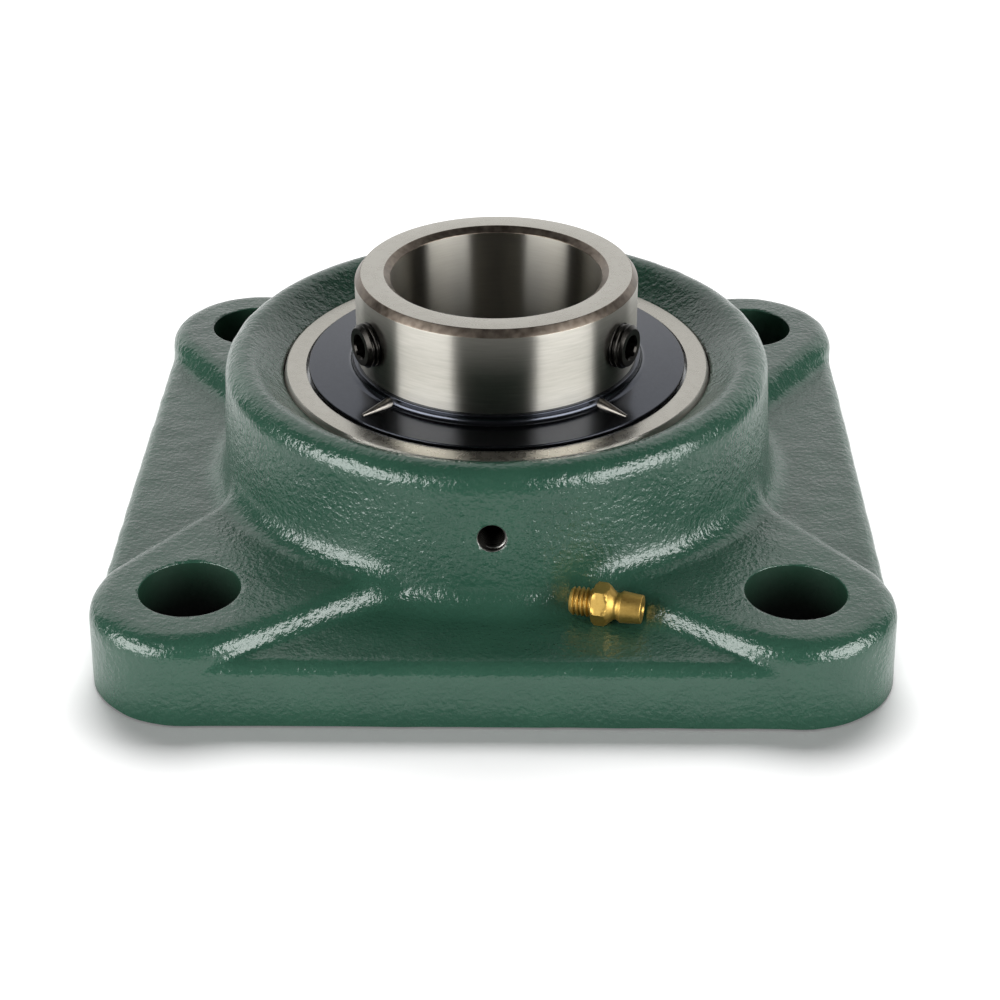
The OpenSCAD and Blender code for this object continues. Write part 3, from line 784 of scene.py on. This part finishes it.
def set_screw(name, side):
    """Cup-point screw with a full thread and a hexagon socket."""
    edge = 0.6
    socket_depth = 3.6
    thread_step = 1 / 14
    least_r = SCREW_R - 0.01
    section = [(0.05, 1.2, 0), (SCREW_R - 1.8, 0.0, 0), (SCREW_R - 1.4, 0, 0.1), (SCREW_R, 1.4, 0)]
    section += [(SCREW_R, u, 0) for u in np.arange(1.4 + thread_step, SCREW_L - edge, thread_step)]
    section += [(SCREW_R - edge, SCREW_L, 0.15), (SOCKET_AF / 2 + 0.32, SCREW_L, 0)]
    socket_mouth = len(rounded(section))
    section += [(SOCKET_AF / 2, SCREW_L - 0.3, 0), (SOCKET_AF / 2, SCREW_L - socket_depth, 0),
                (0.05, SCREW_L - socket_depth - 0.8, 0)]
    points = rounded(section)

    def socket(r, z, angle):
        shaped = r.copy()
        shaped[socket_mouth:socket_mouth + 2] = hexagon(SOCKET_AF, angle)
        return shaped

    made = finish_mesh(turned(name, points, 96, [BLACK_OXIDE], socket))
    run_tree(made, THREAD, BLACK_OXIDE, pitch=SCREW_PITCH, depth=0.5, start=0.9, end=SCREW_L - 0.2,
             run_out=0.5, least_radius=least_r)
    made.data.shade_smooth()
    made.data.set_sharp_from_angle(angle=math.radians(40))
    out = shift_mm(0, 0, RING_R + SCREW_PROUD - SCREW_L)
    return place(made, screw_place(side) @ out)


# Grease nipple
def grease_nipple():
    """Hollow body: thread, hexagon, neck, tapered head and the mouth that shows the check ball."""
    hex_start, hex_end = 4.0, 6.6
    hex_r = NIPPLE_AF / 2 / math.cos(math.pi / 6)
    neck_r, neck_u = 2.1, 7.9
    head_r, tip_r = 2.7, 2.4
    chamber_r, mouth_r, inlet_r = 1.25, 0.85, 0.8
    seat_u = NIPPLE_L - 1.7
    thread_step = 1 / 14
    section = [(NIPPLE_THREAD_R - 0.5, 0, 0.1), (NIPPLE_THREAD_R, 0.5, 0)]
    section += [(NIPPLE_THREAD_R, u, 0) for u in np.arange(0.5 + thread_step, hex_start - 0.2, thread_step)]
    section += [(NIPPLE_THREAD_R - 0.2, hex_start - 0.05, 0)]
    hex_first = len(rounded(section))
    section += [(hex_r - 0.45, hex_start, 0), (hex_r + 0.1, hex_start + 0.4, 0)]
    section += [(hex_r + 0.1, u, 0) for u in np.linspace(hex_start + 0.7, hex_end - 0.9, 4)]
    section += [(hex_r + 0.1, hex_end - 0.6, 0), (hex_r - 0.3, hex_end - 0.2, 0), (NIPPLE_AF / 2, hex_end, 0)]
    hex_last = len(rounded(section))
    section += [(NIPPLE_AF / 2 - 0.1, hex_end + 0.05, 0), (neck_r, neck_u, 0.7), (head_r, neck_u + 0.9, 0.2),
                (tip_r, NIPPLE_L - 0.1, 0.2), (mouth_r + 0.25, NIPPLE_L, 0.1), (mouth_r, NIPPLE_L - 0.3, 0),
                (mouth_r, seat_u + 0.5, 0), (chamber_r, seat_u, 0), (chamber_r, 1, 0), (inlet_r, 1, 0),
                (inlet_r, 0, 0.1)]

    def across(r, z, angle):
        shaped = r.copy()
        shaped[hex_first:hex_last] = np.minimum(r[hex_first:hex_last], hexagon(NIPPLE_AF, angle))
        return shaped

    made = finish_mesh(turned("grease_nipple", rounded(section), 120, [BRASS], across))
    run_tree(made, THREAD, BRASS, pitch=NIPPLE_PITCH, depth=0.38, start=0.2, end=hex_start - 0.1,
             run_out=0.4, least_radius=NIPPLE_THREAD_R - 0.02)
    made.data.shade_smooth()
    made.data.set_sharp_from_angle(angle=math.radians(30))
    return made


def valve_spring():
    """Spring that holds the check ball against the mouth."""
    room = SPRING_HIGH - SPRING_LOW
    made = make_object("valve_spring", [], [], [])
    run_tree(made, SPRING, WIRE, coil_radius=SPRING_COIL_R, wire_radius=SPRING_WIRE_R,
             pitch=room / SPRING_TURNS, length=room - 2 * SPRING_WIRE_R)
    made.data.shade_smooth()
    return place(made, shift_mm(0, 0, SPRING_LOW + SPRING_WIRE_R))


def nipple_lay(body):
    """Finds how the nipple lies on the flange: its axis along Z turns to lie over the middle of its solid."""
    turn = Matrix.Rotation(math.radians(NIPPLE_YAW), 4, "Z") @ Matrix.Rotation(math.radians(90), 4, "Y")
    points = np.array([turn @ vertex.co for vertex in body.data.vertices]) / MM
    offset = (NIPPLE_LOW + NIPPLE_HIGH - points.min(0) - points.max(0)) / 2
    return shift_mm(offset[0], offset[1], NIPPLE_LOW[2] + NIPPLE_AF / 2) @ turn


# Pieces, their bodies and the solids that they stand for
nipple = grease_nipple()
spring = valve_spring()
lay = nipple_lay(nipple)
PIECES = [
    (cast_housing(), "housing", "housing", "green_enamel"),
    (outer_ring(), "insert", "outer_ring", "ground_steel"),
    (inner_ring(), "inner", "inner_ring", "ground_steel"),
    (flinger("front_flinger_disc", COLLAR_H, 1), "inner", "front_flinger", "flinger_steel"),
    (flinger("rear_flinger_disc", COLLAR_H / 2, -1), "inner", "rear_flinger", "flinger_steel"),
    (set_screw("socket_screw_left", -1), "left_screw", "set_screw_left", "black_oxide"),
    (set_screw("socket_screw_right", 1), "right_screw", "set_screw_right", "black_oxide"),
    (place(nipple, lay), "nipple", "nipple_body", "brass"),
    (place(spring, lay), "nipple", "nipple_spring", "cage_steel"),
]
for piece, body, stands_for, finish in PIECES:
    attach(piece, body)
    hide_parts(stands_for)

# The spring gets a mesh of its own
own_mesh(spring)

# Finishes of the solids that show as they are
FINISHES = {"ball": BALL_STEEL, "cage": CAGE_STEEL, "nipple_check_ball": BALL_STEEL}
SEAL_FINISHES = {"plate": SEAL_STEEL, "lip": RUBBER}
for node_name, solid in frame["nodes"].items():
    finish = FINISHES.get(node_name) or FINISHES.get(node_name.split("_")[0])
    if "_seal_" in node_name:
        finish = SEAL_FINISHES[node_name.split("_")[-1]]
    if finish:
        solid.data.materials.clear()
        solid.data.materials.append(finish)


# Studio
def soft_box(name, azimuth, elevation, distance, width, height, radiance):
    """Adds a rectangular lamp that faces the object; azimuth runs from the front to the right."""
    lamp = bpy.data.lights.new(name, "AREA")
    lamp.shape = "RECTANGLE"
    lamp.size = width
    lamp.size_y = height
    lamp.energy = radiance * math.pi * width * height
    made = bpy.data.objects.new(name, lamp)
    a, e = math.radians(azimuth), math.radians(elevation)
    way = Vector((math.sin(a) * math.cos(e), -math.cos(a) * math.cos(e), math.sin(e)))
    made.location = way * distance + Vector((0, 0, 0.03))
    made.rotation_euler = way.to_track_quat("Z", "Y").to_euler()
    bpy.context.scene.collection.objects.link(made)
    return made


left_shine = soft_box("left_shine", azimuth=-57, elevation=16, distance=0.9,
                      width=0.8, height=0.56, radiance=7.2)
right_shine = soft_box("right_shine", azimuth=56, elevation=16, distance=0.9,
                       width=0.8, height=0.56, radiance=7.4)
left_fill = soft_box("left_fill", azimuth=-57, elevation=15, distance=0.9,
                     width=0.8, height=0.56, radiance=4.4)
right_fill = soft_box("right_fill", azimuth=56, elevation=15, distance=0.9,
                      width=0.8, height=0.56, radiance=4.3)
back_fill = soft_box("back_fill", azimuth=180, elevation=55, distance=1.0,
                     width=0.9, height=0.5, radiance=0.75)
shines = (left_shine, right_shine)
fills = (left_fill, right_fill, back_fill)
for lamp in shines:
    lamp.visible_diffuse = False
for lamp in fills:
    lamp.visible_glossy = False
floor_box = soft_box("floor_box", azimuth=180, elevation=55, distance=1.2,
                     width=1.0, height=0.7, radiance=11.0)


# How far the white screen behind spreads to each side, for each step back
SCREEN_SPREAD = 1.5


def pale_room():
    """World: white for what the eye sees and what gloss reflects, dimmer in front, softer for fill."""
    world = bpy.data.worlds.new("pale_room")
    world.use_nodes = True
    tree = world.node_tree
    background = tree.nodes["Background"]
    path = add(tree, "ShaderNodeLightPath").outputs
    way = add(tree, "ShaderNodeTexCoord").outputs["Generated"]
    split = add(tree, "ShaderNodeSeparateXYZ", {0: way}).outputs
    aside = add(tree, "ShaderNodeMath", {0: split["X"]}, operation="ABSOLUTE")
    rear = add(tree, "ShaderNodeMath", {0: split["Y"], 1: SCREEN_SPREAD}, operation="MULTIPLY")
    past = add(tree, "ShaderNodeMath", {0: aside.outputs[0], 1: rear.outputs[0]}, operation="SUBTRACT")
    behind = add(tree, "ShaderNodeMapRange", {"Value": past.outputs[0], "From Min": 0.1, "From Max": -0.1},
                 interpolation_type="SMOOTHSTEP")
    raised = add(tree, "ShaderNodeMapRange", {"Value": split["Z"], "From Min": -0.05, "From Max": 0.1},
                 interpolation_type="SMOOTHSTEP")
    lowered = add(tree, "ShaderNodeMapRange", {"Value": split["Z"], "From Min": 0.92, "From Max": 0.78},
                  interpolation_type="SMOOTHSTEP")
    strip = add(tree, "ShaderNodeMath", {0: raised.outputs[0], 1: lowered.outputs[0]}, operation="MULTIPLY")
    bright = add(tree, "ShaderNodeMath", {0: behind.outputs[0], 1: strip.outputs[0]}, operation="MULTIPLY")
    height = add(tree, "ShaderNodeMapRange", {"Value": split["Z"], "From Min": 0.15, "From Max": 0.45,
                                              "To Min": 1.4, "To Max": 1.1})
    front = add(tree, "ShaderNodeMapRange", {"Value": bright.outputs[0], "To Min": 0.04,
                                             "To Max": height.outputs[0]})
    bent = add(tree, "ShaderNodeMath", {0: path["Is Glossy Ray"], 1: path["Is Transmission Ray"]},
               operation="MAXIMUM")
    fill = add(tree, "ShaderNodeMix", {0: bent.outputs[0], 2: 0.15, 3: front.outputs[0]})
    seen = add(tree, "ShaderNodeMix", {0: path["Is Camera Ray"], 2: fill.outputs[0], 3: 1.0})
    tree.links.new(seen.outputs[0], background.inputs["Strength"])
    background.inputs["Color"].default_value = linear("#ffffff")
    bpy.context.scene.world = world


def pale_floor():
    """Matt white floor that keeps the shadow and runs out into the white room. For rays other than the
    camera's it is grey off the paper, and a patch under the bearing is painted shade in the same grey.
    """
    half = 3.0 / MM
    floor = block("pale_floor", (-half, -280, -12), (half, half, -0.3), None)
    made = bpy.data.materials.new("white_sweep")
    made.use_nodes = True
    tree = made.node_tree
    tree.nodes.remove(tree.nodes["Principled BSDF"])
    path = add(tree, "ShaderNodeLightPath").outputs
    spot = add(tree, "ShaderNodeTexCoord").outputs["Object"]
    reach = add(tree, "ShaderNodeVectorMath", {0: spot}, operation="LENGTH")
    edge = add(tree, "ShaderNodeMapRange", {"Value": reach.outputs["Value"], "From Min": 0.12,
                                            "From Max": 0.24})
    split = add(tree, "ShaderNodeSeparateXYZ", {0: spot}).outputs
    aside = add(tree, "ShaderNodeMath", {0: split["X"]}, operation="ABSOLUTE")
    rear = add(tree, "ShaderNodeMath", {0: split["Y"], 1: SCREEN_SPREAD}, operation="MULTIPLY")
    past = add(tree, "ShaderNodeMath", {0: aside.outputs[0], 1: rear.outputs[0]}, operation="SUBTRACT")
    beside = add(tree, "ShaderNodeMapRange", {"Value": past.outputs[0], "From Min": -0.03, "From Max": 0.03})
    off_paper = add(tree, "ShaderNodeMath", {0: edge.outputs[0], 1: beside.outputs[0]}, operation="MULTIPLY")
    # Painted shade: the floor under the bearing is dark grey for rays other than the camera's
    painted_shade_under_bearing = add(tree, "ShaderNodeMapRange", {"Value": reach.outputs["Value"], "From Min": 0.06,
                                             "From Max": 0.04})
    grey = add(tree, "ShaderNodeMath", {0: off_paper.outputs[0], 1: painted_shade_under_bearing.outputs[0]}, operation="MAXIMUM")
    table_and_shade_tone = add(tree, "ShaderNodeMix", {"Factor": grey.outputs[0], "A": linear("#f2f2f2"),
                                        "B": linear("#4a4a4a")}, data_type="RGBA")
    seen = add(tree, "ShaderNodeMix", {"Factor": path["Is Camera Ray"], "A": table_and_shade_tone.outputs["Result"],
                                       "B": linear("#f2f2f2")}, data_type="RGBA")
    matt = add(tree, "ShaderNodeBsdfDiffuse", {"Color": seen.outputs["Result"]})
    lift = add(tree, "ShaderNodeEmission", {"Color": linear("#ffffff"), "Strength": 0.15})
    lit = add(tree, "ShaderNodeAddShader", {0: matt.outputs[0], 1: lift.outputs[0]})
    shown = add(tree, "ShaderNodeMixShader", {0: path["Is Camera Ray"], 1: matt.outputs[0],
                                              2: lit.outputs[0]})
    tree.links.new(shown.outputs[0], tree.nodes["Material Output"].inputs["Surface"])
    floor.data.materials.clear()
    floor.data.materials.append(made)
    return floor


def light_only(lamp, receiver, state):
    """Makes a lamp light a receiver alone, or everything but the receiver."""
    group = bpy.data.collections.new(lamp.name + "_receivers")
    group.objects.link(receiver)
    group.collection_objects[0].light_linking.link_state = state
    lamp.light_linking.receiver_collection = group


pale_room()
floor = pale_floor()
light_only(floor_box, floor, "INCLUDE")
for lamp in shines + fills:
    light_only(lamp, floor, "EXCLUDE")


# Camera, at the photograph's place
def photo_camera():
    """Camera fitted to the bolt holes and the ring circles of the photograph."""
    azimuth, elevation, roll = math.radians(1.008), math.radians(30.071), math.radians(-0.261)
    distance, aside, raised = 432.34, 0.49, 3.349
    focal_px, image_px, sensor = 2260.2, 1000, 36.0
    back = Vector((math.sin(azimuth) * math.cos(elevation), -math.cos(azimuth) * math.cos(elevation),
                   math.sin(elevation)))
    right = (-back).cross(Vector((0, 0, 1))).normalized()
    up = right.cross(-back)
    rolled_right = math.cos(roll) * right + math.sin(roll) * up
    rolled_up = -math.sin(roll) * right + math.cos(roll) * up
    lens = bpy.data.cameras.new("photo_camera")
    lens.sensor_width = sensor
    lens.lens = focal_px * sensor / image_px
    lens.clip_start = 0.01
    made = bpy.data.objects.new("photo_camera", lens)
    turn = Matrix((rolled_right, rolled_up, back)).transposed().to_4x4()
    spot = (back * distance + right * aside + up * raised) * MM
    made.matrix_world = Matrix.Translation(spot) @ turn
    bpy.context.scene.collection.objects.link(made)
    bpy.context.scene.camera = made


photo_camera()
bpy.context.scene.view_settings.view_transform = "Standard"
